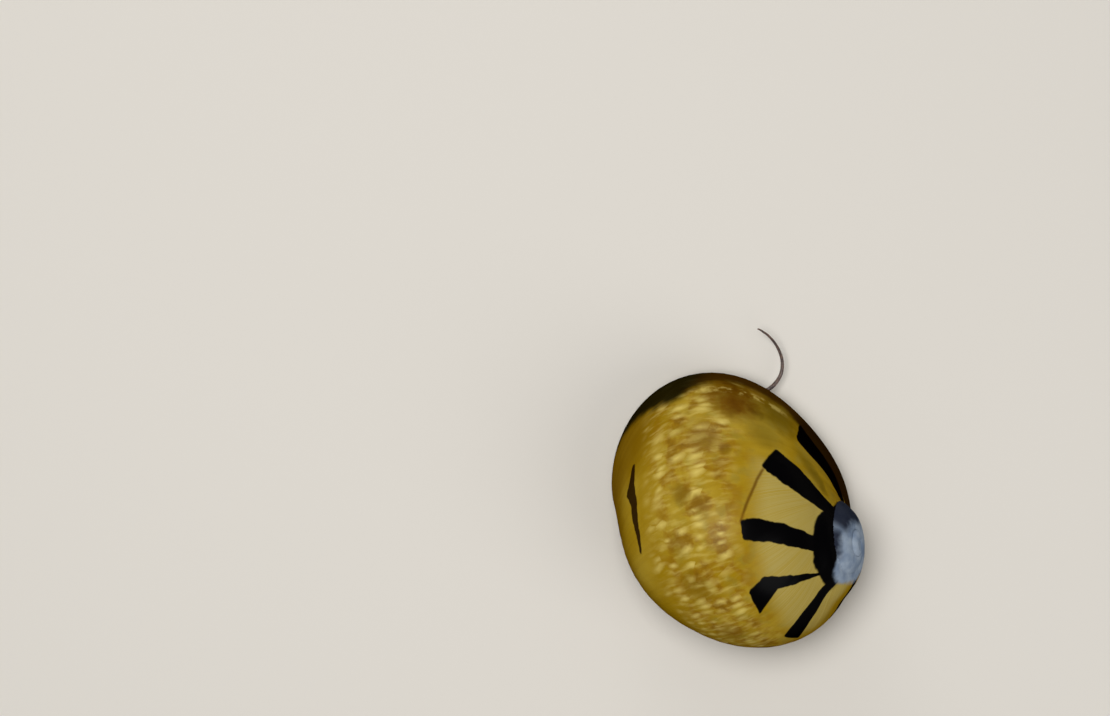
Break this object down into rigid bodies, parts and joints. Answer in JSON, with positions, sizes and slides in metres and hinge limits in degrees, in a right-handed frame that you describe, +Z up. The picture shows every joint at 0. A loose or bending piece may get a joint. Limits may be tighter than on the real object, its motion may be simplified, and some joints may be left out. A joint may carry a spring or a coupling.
{
  "type": "nerite snail",
  "caption": "Crawling nerite snail at life size: domed striped shell with a low spire, foot, head with feelers and eyes, and operculum.",
  "frame": {"origin": "middle of the animal's box at the floor, where the sole rests", "axes": "+Z up from the floor; the head looks along -Y; the animal's right side is -X"},
  "size_m": [0.015, 0.0198, 0.011],
  "materials": {
    "shell": "smooth glossy shell, golden with black stripes",
    "flesh": "moist soft skin",
    "eye": "wet and glossy",
    "operculum": "satin, chalky"
  },
  "bodies": {
    "root": {"shell": "shell", "mantle": "flesh", "foot": "flesh", "head": "flesh", "tentacle_right_1": "flesh", "tentacle_right_2": "flesh", "tentacle_right_3": "flesh", "tentacle_left_1": "flesh", "tentacle_left_2": "flesh", "tentacle_left_3": "flesh", "eyestalk_right": "flesh", "eyestalk_left": "flesh", "eye_right": "eye", "eye_left": "eye", "operculum": "operculum"}
  },
  "joints": []
}
